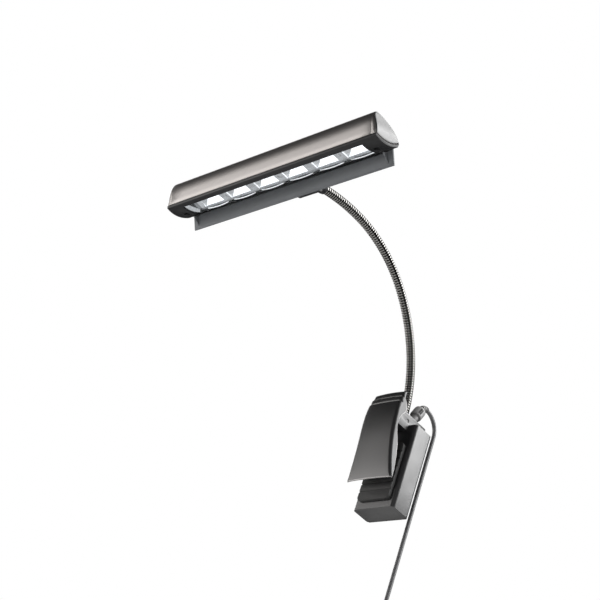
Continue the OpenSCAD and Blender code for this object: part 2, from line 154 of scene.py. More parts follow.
def surface(name, colour, rough, metallic=0.0, vary=0.18, rough_vary=0.05, grain=1800.0, grain_height=0.00002,
            grain_strength=0.25, patches=60.0, stretch=None, coat=0.0, specular=0.5):
    """A moulded, painted or metal surface: faint patches of tone, uneven gloss and a fine grain."""
    n = Nodes(name)
    patch = n.noise(patches, detail=4.0, roughness=0.6, stretch=stretch)
    fine = n.noise(grain, roughness=0.6, stretch=stretch)
    tone = n.spread(patch, 0.0, 1.0)
    n.drive("Base Color", n.shades(tone, scaled(colour, 1 - vary), scaled(colour, 1 + vary)))
    n.drive("Roughness", n.spread(patch, rough - rough_vary, rough + rough_vary))
    n.bump(fine, grain_strength, grain_height)
    n.fix(Metallic=metallic, Coat_Weight=coat, Coat_Roughness=COAT_ROUGHNESS, Specular_IOR_Level=specular)
    return n.material


def glowing(name, colour, power, rough=0.3, metallic=0.0):
    """A glowing surface: its glow follows the mesh's own "glow" values. On the diodes that is their own
    light; on the reflector cells, rim lines and window ends it is painted light and painted shade, standing
    for the LEDs' light reflected there.
    """
    n = Nodes(name)
    patch = n.noise(220.0, detail=2.0)
    n.drive("Base Color", n.shades(n.spread(patch, 0.0, 1.0), scaled(colour, 0.9), colour))
    n.drive("Roughness", n.spread(patch, rough - 0.04, rough + 0.06))
    n.fix(Metallic=metallic, Emission_Color=GLOW_COLOUR)
    strength = n.add("ShaderNodeMath")
    strength.operation = "MULTIPLY"
    n.link(n.mesh_value("glow"), strength.inputs[0])
    n.link(n.spread(n.noise(260.0), 0.82 * power, 1.1 * power), strength.inputs[1])
    n.drive("Emission Strength", strength.outputs["Value"])
    return n.material


def ribbed_painted_groove_shade(name, colour, rough, metallic):
    """A ribbed surface with painted shade: the mesh's own "crest" values run from 0 in the grooves, painted
    nearly black as shade, to 1 on the ribs.
    """
    n = Nodes(name)
    patch = n.noise(90.0)
    worn = n.shades(n.spread(patch, 0.0, 1.0), scaled(colour, 0.9), scaled(colour, 1.1))
    crest = n.spread(n.mesh_value("crest"), 0.0, 1.0, start=0.35, end=0.95)
    n.drive("Base Color", n.shades(crest, scaled(colour, 0.02), worn))
    n.drive("Roughness", n.spread(patch, rough - 0.02, rough + 0.03))
    n.bump(n.noise(2400.0, detail=2.0), 0.05, 0.00001)
    n.fix(Metallic=metallic)
    return n.material


def edge_highlighted(name, colour, highlight_colour, rough):
    """Satin moulding with a painted highlight: a pale line where the mesh's own "edge" values reach 1."""
    n = Nodes(name)
    patch = n.noise(25.0)
    plain = n.shades(n.spread(patch, 0.0, 1.0), scaled(colour, 0.9), scaled(colour, 1.1))
    edge = n.spread(n.mesh_value("edge"), 0.0, 1.0, start=0.2, end=1.0)
    n.drive("Base Color", n.shades(edge, plain, highlight_colour))
    n.drive("Roughness", n.spread(patch, rough - 0.02, rough + 0.02))
    n.bump(n.noise(1500.0), 0.08, 0.00002)
    return n.material


def clear(name, colour, alpha, rough=0.04):
    """A thin clear sheet with faint ripples."""
    n = Nodes(name)
    patch = n.noise(90.0, detail=2.0)
    n.drive("Base Color", n.shades(patch, scaled(colour, 0.94), colour))
    n.drive("Roughness", n.spread(patch, rough, rough + 0.05))
    n.bump(n.noise(400.0, detail=2.0), 0.08, 0.00002)
    n.fix(Alpha=alpha, IOR=ACRYLIC_IOR)
    return n.material


HEAD = surface("head_satin", (0.15, 0.143, 0.139), 0.34, metallic=0.8, vary=0.08, rough_vary=0.03,
               grain=2600.0, grain_strength=0.12, stretch=(0.05, 1, 1))
UNDER = surface("underside_moulded", (0.017, 0.017, 0.018), 0.48, grain=1500.0, grain_strength=0.3,
                specular=0.22)
# Painted light: the glare shield, black like the underside, is given a lighter blue-grey that stands for the
# LEDs' spill light falling on it.
SHIELD_PAINTED_LIGHT = surface("shield_moulded", (0.12, 0.127, 0.135), 0.55, vary=0.08, grain=1500.0, grain_strength=0.3,
                 specular=0.28)
CAP = surface("cap_moulded", (0.02, 0.02, 0.0205), 0.3, vary=0.1, grain=900.0, grain_strength=0.15)
# Painted highlight: the lever's bottom edge and the rear edges of its flanks get a pale line.
LEVER = edge_highlighted("lever_gloss", (0.01, 0.01, 0.0105), (0.34, 0.33, 0.33), 0.37)
HOUSING = surface("housing_moulded", (0.018, 0.018, 0.019), 0.33, vary=0.12, grain=1400.0, grain_strength=0.3,
                  specular=0.6)
RUBBER = surface("jaw_rubber", (0.02, 0.02, 0.02), 0.75, vary=0.3, grain=900.0, grain_strength=0.5,
                 grain_height=0.00005)
# The neck's grooves are painted nearly black as shade.
CHROME = ribbed_painted_groove_shade("neck_nickel", (0.19, 0.186, 0.18), 0.14, metallic=1.0)
STEEL = surface("plain_steel", (0.55, 0.55, 0.56), 0.28, metallic=1.0, vary=0.1, patches=300.0)
PLATED = surface("plated_pin", (0.72, 0.7, 0.66), 0.2, metallic=1.0, vary=0.08, patches=200.0,
                 stretch=(1, 0.15, 1))
BRASS = surface("contact_sheet", (0.72, 0.6, 0.36), 0.3, metallic=1.0, vary=0.12, patches=150.0)
CELL = surface("cell_film", (0.3, 0.31, 0.33), 0.3, metallic=0.6, vary=0.2, patches=40.0)
BOARD = surface("board_mask", (0.02, 0.13, 0.06), 0.35, vary=0.25, patches=300.0, coat=0.4)
WHITE_BOARD = surface("board_white", (0.78, 0.78, 0.76), 0.4, vary=0.06, patches=200.0)
# Painted light: the black plug, its sleeve, the cord's tie and the adapter's sleeve are given a light grey
# that stands for the light falling on them; the ribbed sleeve also has painted shade in its grooves.
PLUG_PAINTED_LIGHT = surface("plug_soft", (0.21, 0.207, 0.207), 0.4, vary=0.12, grain=1600.0, grain_strength=0.3)
PLUG_RIBBED_PAINTED_LIGHT_AND_SHADE = ribbed_painted_groove_shade("plug_soft_ribbed", (0.21, 0.207, 0.207), 0.42, metallic=0.0)
# Painted light: the black cord is given a mid grey that stands for the light falling on it.
CORD_PAINTED_LIGHT = surface("cord_jacket", (0.085, 0.085, 0.088), 0.4, vary=0.2, patches=150.0, grain=1600.0)
ADAPTER = surface("adapter_spark", (0.018, 0.018, 0.019), 0.5, grain=700.0, grain_strength=0.6,
                  grain_height=0.00006)
SCREW = surface("screw_oxide", (0.02, 0.02, 0.02), 0.35, metallic=0.8, vary=0.2, patches=500.0)
BUTTON = surface("button_satin", (0.045, 0.045, 0.048), 0.4, grain=1600.0)
# Painted light: the reflector's faces glow by their "glow" values, standing for the LEDs' light reflected in
# them.
REFLECTOR_PAINTED_LIGHT = glowing("reflector_painted_light", (0.34, 0.35, 0.37), power=1.0, metallic=0.6)
DIODE = glowing("diode_lit", (1.0, 0.98, 0.9), power=3.0, rough=0.5)
WINDOW = clear("window_clear", (0.6, 0.64, 0.68), alpha=0.08)


# ---------------------------------------------------------------- mesh helpers
X_AXIS, Y_AXIS, Z_AXIS = Vector((1, 0, 0)), Vector((0, 1, 0)), Vector((0, 0, 1))
OPEN = (False, False)
CREASE = 38.0
BEVEL_LIMIT = 32.0


def add_object(name, mesh, material):
    obj = bpy.data.objects.new(name, mesh)
    bpy.context.scene.collection.objects.link(obj)
    mesh.materials.clear()
    mesh.materials.append(material)
    return obj


def place(obj, body, slot, *nodes):
    """Rides obj on a body, in the place of the CAD nodes, if any; slot is not used."""
    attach(obj, body)
    if nodes:
        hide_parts(*nodes)


def mark(obj, name, domain, values):
    """Gives each POINT or FACE of obj a value that its material reads by name."""
    obj.data.attributes.new(name, "FLOAT", domain).data.foreach_set("value", values)


def finished(obj, angle=CREASE):
    """Smooth faces, with a crease where they meet at more than angle degrees."""
    obj.data.polygons.foreach_set("use_smooth", [True] * len(obj.data.polygons))
    obj.data.set_sharp_from_angle(angle=math.radians(angle))
    return obj


def mesh_from(name, points, faces, material, angle=CREASE):
    mesh = bpy.data.meshes.new(name)
    mesh.from_pydata([Vector(p) * MM for p in points], [], faces)
    bm = bmesh.new()
    bm.from_mesh(mesh)
    bmesh.ops.recalc_face_normals(bm, faces=bm.faces)
    bm.to_mesh(mesh)
    bm.free()
    return finished(add_object(name, mesh, material), angle)


def settle(obj):
    """Applies obj's modifiers to its mesh."""
    done = bpy.data.meshes.new_from_object(obj.evaluated_get(bpy.context.evaluated_depsgraph_get()))
    obj.modifiers.clear()
    obj.data = done
    return obj


def bevelled(obj, width, segments=3, limit=BEVEL_LIMIT):
    """Rounds the edges of obj where its faces meet at more than limit degrees."""
    modifier = obj.modifiers.new("round", "BEVEL")
    modifier.width = width * MM
    modifier.segments = segments
    modifier.limit_method = "ANGLE"
    modifier.angle_limit = math.radians(limit)
    modifier.miter_outer = "MITER_ARC"
    modifier.use_clamp_overlap = True
    return finished(settle(obj))


def rings(name, loops, material, closed=True, ends=(True, True), angle=CREASE):
    """Skin over rings of points. closed joins each ring's last point to its first; ends says whether the
    first and the last ring are covered."""
    count = len(loops[0])
    points = [p for loop in loops for p in loop]
    faces = []
    for i in range(len(loops) - 1):
        for k in range(count if closed else count - 1):
            after = (k + 1) % count
            faces.append((i * count + k, i * count + after, (i + 1) * count + after, (i + 1) * count + k))
    if ends[0]:
        faces.append(tuple(reversed(range(count))))
    if ends[1]:
        faces.append(tuple(range(len(points) - count, len(points))))
    return mesh_from(name, points, faces, material, angle)


def circle(centre, radius, side, across, sides):
    """Points round centre, from the unit vector side towards the unit vector across."""
    turns = [2 * math.pi * k / sides for k in range(sides)]
    return [centre + radius * (math.cos(a) * side + math.sin(a) * across) for a in turns]


def turned(name, steps, origin, axis, material, sides=40):
    """A turned piece on an axis that is square to X. steps are (distance along axis, radius)."""
    across = axis.cross(X_AXIS)
    loops = [circle(origin + axis * along, radius, X_AXIS, across, sides) for along, radius in steps]
    return rings(name, loops, material)


def block(name, centre, wide, tall, out, half_wide, half_tall, low, high, material):
    """A box round centre, from low to high along out."""
    corners = [centre + wide * a * half_wide + tall * b * half_tall + out * depth
               for depth in (low, high) for a, b in ((-1, -1), (1, -1), (1, 1), (-1, 1))]
    faces = [(0, 1, 2, 3), (4, 7, 6, 5), (0, 4, 5, 1), (1, 5, 6, 2), (2, 6, 7, 3), (3, 7, 4, 0)]
    return mesh_from(name, corners, faces, material)


MERGE_GAP = 0.004
FLAT_ANGLE = 2.0


def from_node(node, name, width, material, body, slot, segments=3):
    """The CAD node's shape again with rounded edges, standing for it."""
    bm = bmesh.new()
    bm.from_mesh(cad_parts[node].data)
    bmesh.ops.remove_doubles(bm, verts=bm.verts, dist=MERGE_GAP * MM)
    bmesh.ops.dissolve_limit(bm, angle_limit=math.radians(FLAT_ANGLE), verts=bm.verts, edges=bm.edges)
    mesh = bpy.data.meshes.new(name)
    bm.to_mesh(mesh)
    bm.free()
    place(bevelled(add_object(name, mesh, material), width, segments), body, slot, node)


def bend(a, b, c, n):
    """Points of a quadratic curve from a to c that leans towards b."""
    a, b, c = Vector(a), Vector(b), Vector(c)
    return [(1 - t) ** 2 * a + 2 * t * (1 - t) * b + t * t * c for t in (i / n for i in range(n + 1))]


def smoothstep(t):
    t = max(0.0, min(1.0, t))
    return t * t * (3 - 2 * t)


def hermite(p, q, dp, dq, n):
    """n points from p towards q, leaving along dp and arriving along dq; q itself is left out."""
    return [(2 * t ** 3 - 3 * t ** 2 + 1) * p + (t ** 3 - 2 * t ** 2 + t) * dp
            + (3 * t ** 2 - 2 * t ** 3) * q + (t ** 3 - t ** 2) * dq for t in (i / n for i in range(n))]


# ---------------------------------------------------------------- cord
CORD_X, CORD_Y = 6.6, 34.0
CORD_R = 1.5
CROWN = (CORD_X, 19.46, 61.73)
# (y, z) from the plug's sleeve over to the hanging run, then the heights of that run.
LEAD_BEND = (CROWN[1:], (21.8, 61.6), (24, 61.1), (26.2, 60.2), (28.3, 58.9), (30.2, 57.2), (31.8, 55.1),
             (33, 52.7), (33.8, 49.8), (CORD_Y, 46.5))
LEAD_HEIGHTS = (40, 30, 15, 0, -15, -30, -45, -60, -75, -86)

# The coil stands in the XZ plane; its turns lie round the middle of the bundle, ten outside and four inside.
COIL_CENTRE = Vector((CORD_X, CORD_Y, -132))
COIL_R = 18
WIND_OUTER, WIND_INNER = 5.25, 2.15
OUTER_PLACES, INNER_PLACES = 10, 4
INNER_START = 162.0
TURNS = 13
TURN_STEPS = 36
COIL_IN, COIL_OUT = 25, 155
# In each turn the cord leaves its place this share of a turn before the end, and takes CHANGE_SHARE to do it.
CHANGE_BEFORE = 0.25
CHANGE_SHARE = 0.16

COIL_APPROACH = -90
TAIL_HEIGHTS = (-168.5, -175, -183, -190, -198)
ENTRY_PULL, TURN_PULL, EXIT_PULL = 26, 22, 16
JOIN_STEPS = 12


def winding_places():
    """Where each turn lies in the bundle, as (radius, angle), in the order the cord takes them."""
    outer = [(WIND_OUTER, 360.0 / OUTER_PLACES * k) for k in range(OUTER_PLACES)]
    inner = [(WIND_INNER, INNER_START + 360.0 / INNER_PLACES * k) for k in range(INNER_PLACES)]
    half = OUTER_PLACES // 2
    return outer[:half] + inner + outer[half:]


def coil_point(turn_angle):
    """The cord's middle at an angle round the coil, moving to its next place once in each turn."""
    places = winding_places()
    turns = turn_angle / 360.0 + CHANGE_BEFORE
    index = int(math.floor(turns))
    share = smoothstep((turns - index) / CHANGE_SHARE) if index else 1.0
    before, here = places[max(index - 1, 0)], places[index]
    swing = (here[1] - before[1] + 180.0) % 360.0 - 180.0
    radius = before[0] + (here[0] - before[0]) * share
    lean = math.radians(before[1] + swing * share)
    around = math.radians(turn_angle)
    reach = COIL_R + radius * math.cos(lean)
    return COIL_CENTRE + Vector((reach * math.sin(around), radius * math.sin(lean), reach * math.cos(around)))


def coil_heading(turn_angle):
    return (coil_point(turn_angle + 0.5) - coil_point(turn_angle - 0.5)).normalized()


def cord_route():
    """The cord's middle line: over and down, round the coil, and down into the adapter's sleeve."""
    def hanging(heights):
        return [Vector((CORD_X, CORD_Y, z)) for z in heights]

    last_turn = COIL_OUT + 360 * TURNS
    steps = TURNS * TURN_STEPS
    approach, = hanging([COIL_APPROACH])
    tail = hanging(TAIL_HEIGHTS)
    found = [Vector((CORD_X, y, z)) for y, z in LEAD_BEND] + hanging(LEAD_HEIGHTS)
    found += hermite(approach, coil_point(COIL_IN), -Z_AXIS * ENTRY_PULL, coil_heading(COIL_IN) * TURN_PULL,
                     JOIN_STEPS)
    found += [coil_point(COIL_IN + (last_turn - COIL_IN) * i / steps) for i in range(steps)]
    found += hermite(coil_point(last_turn), tail[0], coil_heading(last_turn) * EXIT_PULL, -Z_AXIS * EXIT_PULL,
                     JOIN_STEPS)
    return found + tail


route = cord_route()
curve = bpy.data.curves.new("power_cord", "CURVE")
curve.dimensions = "3D"
curve.bevel_depth = CORD_R * MM
curve.bevel_resolution = 4
curve.use_fill_caps = True
spline = curve.splines.new("POLY")
spline.points.add(len(route) - 1)
for point, at in zip(spline.points, route):
    point.co = (*(at * MM), 1)
spline.use_smooth = True
power_cord = bpy.data.objects.new("power_cord", curve)
bpy.context.scene.collection.objects.link(power_cord)
curve.materials.append(CORD_PAINTED_LIGHT)
place(power_cord, "clip_body", "cord_black", "cord_lead", "cord_coil", "cord_tail")

# Tie: a flat band with a buckle, round one side of the coil. Its section is (radius, z).
BAND_SECTION = ((7.15, -2.4), (7.15, 2.4), (7.75, 2.7), (8.05, 2.1), (8.05, -2.1), (7.75, -2.7))
BAND_STEPS = 48
BAND_WAVE, BAND_WAVES = 0.06, 6
BUCKLE_REACH = 8.6
band_centre = COIL_CENTRE - X_AXIS * COIL_R
band_loops = []
for k in range(BAND_STEPS + 1):
    a = 2 * math.pi * k / BAND_STEPS
    wave = BAND_WAVE * math.sin(BAND_WAVES * a)
    band_loops.append([band_centre + Vector(((r + wave) * math.cos(a), (r + wave) * math.sin(a), z))
                       for r, z in BAND_SECTION])
tie = rings("cord_band", band_loops, PLUG_PAINTED_LIGHT, ends=OPEN)
buckle = block("cord_band_buckle", band_centre - Y_AXIS * BUCKLE_REACH, X_AXIS, Z_AXIS, Y_AXIS, half_wide=3,
               half_tall=3.2, low=-1.1, high=1.2, material=PLUG_PAINTED_LIGHT)
bevelled(buckle, 0.7)
place(tie, "clip_body", "plug_black", "cord_tie")
place(buckle, "clip_body", "plug_black")


# ---------------------------------------------------------------- adapter
ADAPTER_TOP = -183.0
ADAPTER_W, ADAPTER_T, ADAPTER_LEN = 42, 28, 60
ADAPTER_CORNER = 4.0
CORNER_CUT = 2.0
CORNER_STEPS = 6
GRIP_GROOVES, GRIP_START, GRIP_PITCH = 7, 34, 2.6
GRIP_GROOVE = ((0.0, 0.0), (0.3, 0.3), (1.0, 0.3), (1.3, 0.0))
RELIEF_LEN, RELIEF_LOW_R, RELIEF_HIGH_R = 12.0, 3.6, 2.2
RELIEF_RIBS = 6
RELIEF_PLAIN = 1.2
# Across one rib, as (share of its pitch, depth), and the rounded ends, as (distance from that end, depth).
RELIEF_RIB = ((0.0, 0.0), (0.5, 0.0), (0.58, 0.28), (0.92, 0.28))
RELIEF_LOW_END = ((0, 0.108), (0.25, 0.0))
RELIEF_HIGH_END = ((0.8, 0.0), (0.2, 0.12), (0, 0.4))

relief_steps = [(along, RELIEF_LOW_R - depth) for along, depth in RELIEF_LOW_END]
relief_pitch = (RELIEF_LEN - 2 * RELIEF_PLAIN) / RELIEF_RIBS
for i in range(RELIEF_RIBS):
    for share, depth in RELIEF_RIB:
        along = RELIEF_PLAIN + relief_pitch * (i + share)
        radius = RELIEF_LOW_R + (RELIEF_HIGH_R - RELIEF_LOW_R) * along / RELIEF_LEN
        relief_steps.append((along, radius - depth))
relief_steps += [(RELIEF_LEN - along, RELIEF_HIGH_R - depth) for along, depth in RELIEF_HIGH_END]
adapter_sleeve = turned("adapter_sleeve", relief_steps, Vector((CORD_X, CORD_Y, ADAPTER_TOP)), Z_AXIS, PLUG_PAINTED_LIGHT)
place(adapter_sleeve, "clip_body", "plug_black", "adapter_relief")


def rounded_rectangle(half_w, half_t, r):
    """(x, y) points round a rectangle with corners of radius r."""
    found = []
    for corner, (sx, sy) in enumerate(((1, 1), (-1, 1), (-1, -1), (1, -1))):
        for i in range(CORNER_STEPS + 1):
            a = math.radians(90 * corner + 90 * i / CORNER_STEPS)
            found.append((sx * (half_w - r) + r * math.cos(a), sy * (half_t - r) + r * math.sin(a)))
    return found


# (height, inset): soft lower edge, parting groove, grip grooves, soft upper edge.
adapter_levels = [(0.0, 2.4), (0.25, 1.3), (0.8, 0.5), (1.6, 0.12), (2.6, 0.0),
                  (26.4, 0.0), (26.6, 0.35), (27.2, 0.35), (27.4, 0.0)]
adapter_levels += [(GRIP_START + groove * GRIP_PITCH + height, inset)
                   for groove in range(GRIP_GROOVES) for height, inset in GRIP_GROOVE]
adapter_levels += [(57.4, 0.0), (58.4, 0.12), (59.2, 0.5), (59.7, 1.3), (59.95, 2.4)]
adapter_loops = [[(CORD_X + x, CORD_Y + y, ADAPTER_TOP - ADAPTER_LEN + height)
                  for x, y in rounded_rectangle(ADAPTER_W / 2 - inset, ADAPTER_T / 2 - inset,
                                                ADAPTER_CORNER - min(inset, CORNER_CUT))]
                 for height, inset in adapter_levels]
adapter = rings("mains_adapter_case", adapter_loops, ADAPTER)
place(adapter, "clip_body", "adapter_black", "mains_adapter")

# Pins, as (distance from the case, radius): a plated tip and an insulated root.
PIN_HALF_PITCH = 9.5
PIN_DROP = 36
PIN_GAP = 0.02
PIN_TIP = ((8.8, 1.85), (9.0, 2.0), (17.2, 2.0), (18.0, 1.85), (18.6, 1.45), (18.95, 0.8))
PIN_ROOT = ((0.0, 2.0), (0.6, 1.98), (8.6, 1.96), (9.0, 1.9), (9.02, 1.6))
pins = []
for side, node in ((-1, "adapter_pin_left"), (1, "adapter_pin_right")):
    root = Vector((CORD_X + side * PIN_HALF_PITCH, CORD_Y + ADAPTER_T / 2 + PIN_GAP, ADAPTER_TOP - PIN_DROP))
    metal = turned(node + "_metal", PIN_TIP, root, Y_AXIS, PLATED)
    sleeve = turned(node + "_sleeve", PIN_ROOT, root, Y_AXIS, ADAPTER)
    place(metal, "clip_body", "pin_plated", node)
    place(sleeve, "clip_body", "adapter_black")
    pins += [metal, sleeve]


# ---------------------------------------------------------------- power plug
PLUG_LEAN = math.radians(24)
PLUG_AXIS = Vector((0, math.sin(PLUG_LEAN), math.cos(PLUG_LEAN)))
PLUG_BASE = Vector((CORD_X, 8.2, 45.2))
PLUG_SIDES = 56
PLUG_STEPS = ((-6.1, 1.3), (-6.1, 1.75), (0.15, 1.75), (0.16, 2.85), (0.4, 3.0), (4.9, 3.0), (5.2, 3.05),
              (5.3, 3.9), (5.6, 4.25), (6.2, 4.4), (12.2, 4.4), (13.2, 4.2), (13.9, 3.6), (14.2, 2.6))
BAR_FACES = (-20, 160)
BARS, BAR_START, BAR_PITCH = 4, 7.4, 1.35
BAR_REACH = 4.25

plug = turned("power_plug", PLUG_STEPS, PLUG_BASE, PLUG_AXIS, PLUG_PAINTED_LIGHT, sides=PLUG_SIDES)
# The grip bars keep the plug's own dark colour, which here also stands for the shade round them against the
# painted light grey.
bars = []
for face, angle in enumerate(BAR_FACES):
    around = math.radians(angle)
    out = math.cos(around) * X_AXIS + math.sin(around) * PLUG_AXIS.cross(X_AXIS)
    for i in range(BARS):
        centre = PLUG_BASE + PLUG_AXIS * (BAR_START + BAR_PITCH * i) + out * BAR_REACH
        bar = block(f"plug_bar_{face}_{i}", centre, PLUG_AXIS.cross(out), PLUG_AXIS, out, half_wide=1.3,
                    half_tall=0.42, low=-0.3, high=0.42, material=RUBBER)
        bars.append(bevelled(bar, 0.22, segments=2))

# Bent sleeve: ribs with grooves between them, on an arc that ends where the cord comes out. Its steps are
# (share of the arc, depth below the sleeve's surface).
SLEEVE_BEND_R = 6.0
SLEEVE_FROM, SLEEVE_SWEEP = 156, 66
SLEEVE_R, SLEEVE_TAPER = 2.75, 0.55
SLEEVE_SIDES = 28
SLEEVE_RIBS = 4
GROOVE_DEPTH = 0.765
SLEEVE_RIB = ((0.05, 0.0), (0.5, 0.0), (0.56, GROOVE_DEPTH), (0.96, GROOVE_DEPTH))
sleeve_centre = Vector(CROWN) - Z_AXIS * SLEEVE_BEND_R
sleeve_steps = [(-0.08, 0.0)]
sleeve_steps += [((i + share) / SLEEVE_RIBS, depth) for i in range(SLEEVE_RIBS)
                 for share, depth in SLEEVE_RIB]
sleeve_steps += [(1.0, 0.085), (1.03, 0.68)]
sleeve_loops = []
for share, depth in sleeve_steps:
    a = math.radians(SLEEVE_FROM - SLEEVE_SWEEP * share)
    out = Vector((0, math.cos(a), math.sin(a)))
    radius = SLEEVE_R - SLEEVE_TAPER * share - depth
    sleeve_loops.append(circle(sleeve_centre + SLEEVE_BEND_R * out, radius, X_AXIS, out, SLEEVE_SIDES))
plug_sleeve = rings("plug_sleeve", sleeve_loops, PLUG_RIBBED_PAINTED_LIGHT_AND_SHADE)
# Values fall to 0 in the grooves, which the material paints nearly black as shade.
mark(plug_sleeve, "crest", "POINT", [1 - depth / GROOVE_DEPTH for share, depth in sleeve_steps
                                     for k in range(SLEEVE_SIDES)])
place(plug, "clip_body", "plug_black", "dc_plug")
place(plug_sleeve, "clip_body", "plug_black", "plug_relief")
for bar in bars:
    place(bar, "clip_body", "plug_black")


# ---------------------------------------------------------------- gooseneck
FOOT = Vector((0, 5.8, 45.0))
NECK_R = 3.2
NECK_SIDES = 28
# Arcs of the centre line in the YZ plane, as (radius, first heading, last heading); headings are in degrees.
ARCS = ((113.0, 0.0, 50.0), (93.0, 50.0, 90.0), (140.0, 90.0, 105.5))
NECK_TURN = ARCS[-1][2]
ARC_SAMPLES = 400
JOINTS = (20.0, 50.0, 70.0, 90.0)
OVERRUN = 5.4
BLEND_MARGIN = 1.5
# Across one rib, as (share of the pitch, drop from the crest). Real ribs are finer, and wouldn't show.
PITCH = 1.9
RIB_DEPTH = 0.9
RIB = ((0.0, -RIB_DEPTH), (0.1, -0.55), (0.19, -0.12), (0.28, 0.0), (0.72, 0.0), (0.81, -0.12), (0.9, -0.55))
RIB_LEAN = 0.2


def arc_centres():
    """The middle of each arc; neighbouring arcs meet without a corner."""
    hub = FOOT - Vector((0, ARCS[0][0], 0))
    found = [hub]
    for (radius, low, high), (following, _, _) in zip(ARCS, ARCS[1:]):
        a = math.radians(high)
        hub = hub + (radius - following) * Vector((0, math.cos(a), math.sin(a)))
        found.append(hub)
    return found


CENTRES = arc_centres()


def neck_at(turn):
    """(point, outward unit vector) on the neck's centre line at a heading in degrees."""
    for centre, (radius, low, high) in zip(CENTRES, ARCS):
        if turn <= high or high == NECK_TURN:
            a = math.radians(turn)
            out = Vector((0, math.cos(a), math.sin(a)))
            return centre + radius * out, out


def neck_lengths():
    """(length, heading) pairs along the neck, in small steps."""
    found, length = [], 0.0
    for radius, low, high in ARCS:
        for i in range(ARC_SAMPLES):
            turned_by = (high - low) * i / ARC_SAMPLES
            found.append((length + radius * math.radians(turned_by), low + turned_by))
        length += radius * math.radians(high - low)
    return found + [(length, NECK_TURN)]


LENGTHS = neck_lengths()
TOTAL_LENGTH = LENGTHS[-1][0]


def heading_at(length):
    """The heading in degrees at a length along the neck."""
    at = min(max(bisect.bisect_right(LENGTHS, (length, math.inf)) - 1, 0), len(LENGTHS) - 2)
    (low, heading), (high, following) = LENGTHS[at], LENGTHS[at + 1]
    return heading + (following - heading) * (length - low) / (high - low)


def length_at(turn):
    return min((abs(heading - turn), length) for length, heading in LENGTHS)[1]


def neck_piece(name, start, end):
    """Ribs from one length to another; past either end of the centre line they run on straight."""
    loops, crest = [], []
    first, last = round(start / PITCH), round(end / PITCH)
    places = [((rib + share) * PITCH, drop) for rib in range(first, last) for share, drop in RIB]
    places.append((last * PITCH, RIB[0][1]))
    for length, drop in places:
        on_line = min(max(length, 0.0), TOTAL_LENGTH)
        point, out = neck_at(heading_at(on_line))
        along = Vector((0, -out.z, out.y))
        loop = circle(point + along * (length - on_line), NECK_R + drop, out, X_AXIS, NECK_SIDES)
        loops.append([p + along * RIB_LEAN * math.sin(2 * math.pi * k / NECK_SIDES)
                      for k, p in enumerate(loop)])
        crest += [1 + drop / RIB_DEPTH] * NECK_SIDES
    obj = rings(name, loops, CHROME, ends=OPEN, angle=70.0)
    # Values fall to 0 in the grooves, which the material paints nearly black as shade.
    mark(obj, "crest", "POINT", crest)
    return obj


cuts = [-OVERRUN, *(length_at((a + b) / 2) for a, b in zip(JOINTS, JOINTS[1:])), TOTAL_LENGTH + OVERRUN]
for i, joint in enumerate(JOINTS):
    start, end = cuts[i], cuts[i + 1]
    piece = neck_piece(f"gooseneck_{i + 1}", start, end)
    hinge = length_at(joint)
    reach = min(hinge - max(start, 0.0), min(end, TOTAL_LENGTH) - hinge) - BLEND_MARGIN
    low, _ = neck_at(heading_at(hinge - reach))
    high, _ = neck_at(heading_at(hinge + reach))
    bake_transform(piece)
    segments = (4, 5) if joint == JOINTS[-1] else (i + 1,)
    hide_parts(*(f"neck_{kind}_{k}" for k in segments for kind in ("segment", "wire")))


# ---------------------------------------------------------------- head
# Places in the head are (x, u, v): u runs from its front to its rear along the tilted underside, and v is
# the height over that.
TILT = math.radians(22.8)
HEAD_Y, HEAD_Z = -183.8, 119.4
HEAD_HALF = 98.0
CAP_IN = 93.6
SHELL_STEPS = 16


def in_head(x, u, v):
    """The place in the frame of a place in the head."""
    return Vector((x, HEAD_Y + u * math.cos(TILT) - v * math.sin(TILT),
                   HEAD_Z + u * math.sin(TILT) + v * math.cos(TILT)))


HEAD_UP = (in_head(0, 0, 1) - in_head(0, 0, 0)).normalized()
head_low = [Vector((0.0, 0.12)), Vector((0.0, 3.0))]
head_front = bend((0, 6.5), (0.2, 16.9), (6, 17.2), 20)
head_back = bend((6, 17.2), (15.4, 14), (22.7, 0.3), 26)[1:]
head_under = bend((22.7, 0.3), (12.5, -5.6), (0, 0), 20)[1:]
inner_front = bend((1.6, 7), (1.8, 15.2), (6.2, 15.6), 10)
inner_back = bend((6.2, 15.6), (14.6, 12.4), (20.5, 0.3), 14)[1:]
shell_outline = head_low + head_front + head_back + (inner_front + inner_back)[::-1] + [Vector((1.6, 0.12))]
shell_places = [-CAP_IN + 2 * CAP_IN * i / SHELL_STEPS for i in range(SHELL_STEPS + 1)]
shell = rings("head_shell_skin", [[in_head(x, *p) for p in shell_outline] for x in shell_places], HEAD)
place(bevelled(shell, 0.1, segments=2, limit=60.0), "head", "head_black", "head_shell")

# End caps: a rim that curves in from the shell, then a face that leans inwards towards the top.
CAP_MIDDLE = Vector((9.8, 6.2))
CAP_GAP = 0.02
CAP_ROOT_INSET = 0.12
CAP_DEPTH = 4.1
LEAN_FROM, LEAN_HEIGHT, LEAN_POWER = 2, 15.2, 1.8
# The soft edge grows from CAP_LOW_EDGE to CAP_EDGE over EDGE_RISE from v = EDGE_LOW, and shrinks again over
# EDGE_FALL up to u = EDGE_REAR.
CAP_EDGE, CAP_LOW_EDGE = 3.0, 1.1
EDGE_LOW, EDGE_RISE = -0.5, 4
EDGE_REAR, EDGE_FALL = 18, 8
EDGE_ROOM_LEFT, EDGE_ROOM_SHARE = 0.1, 0.9
CAP_EDGE_IN, EDGE_IN_SHARE = 1.7, 1.6
CAP_ARC = 8
CAP_RIM_RINGS = 6
CAP_FACE_SHARES = (0.12, 0.3, 0.5, 0.75)
cap_outline = head_low + head_front + head_back + head_under[:-1]


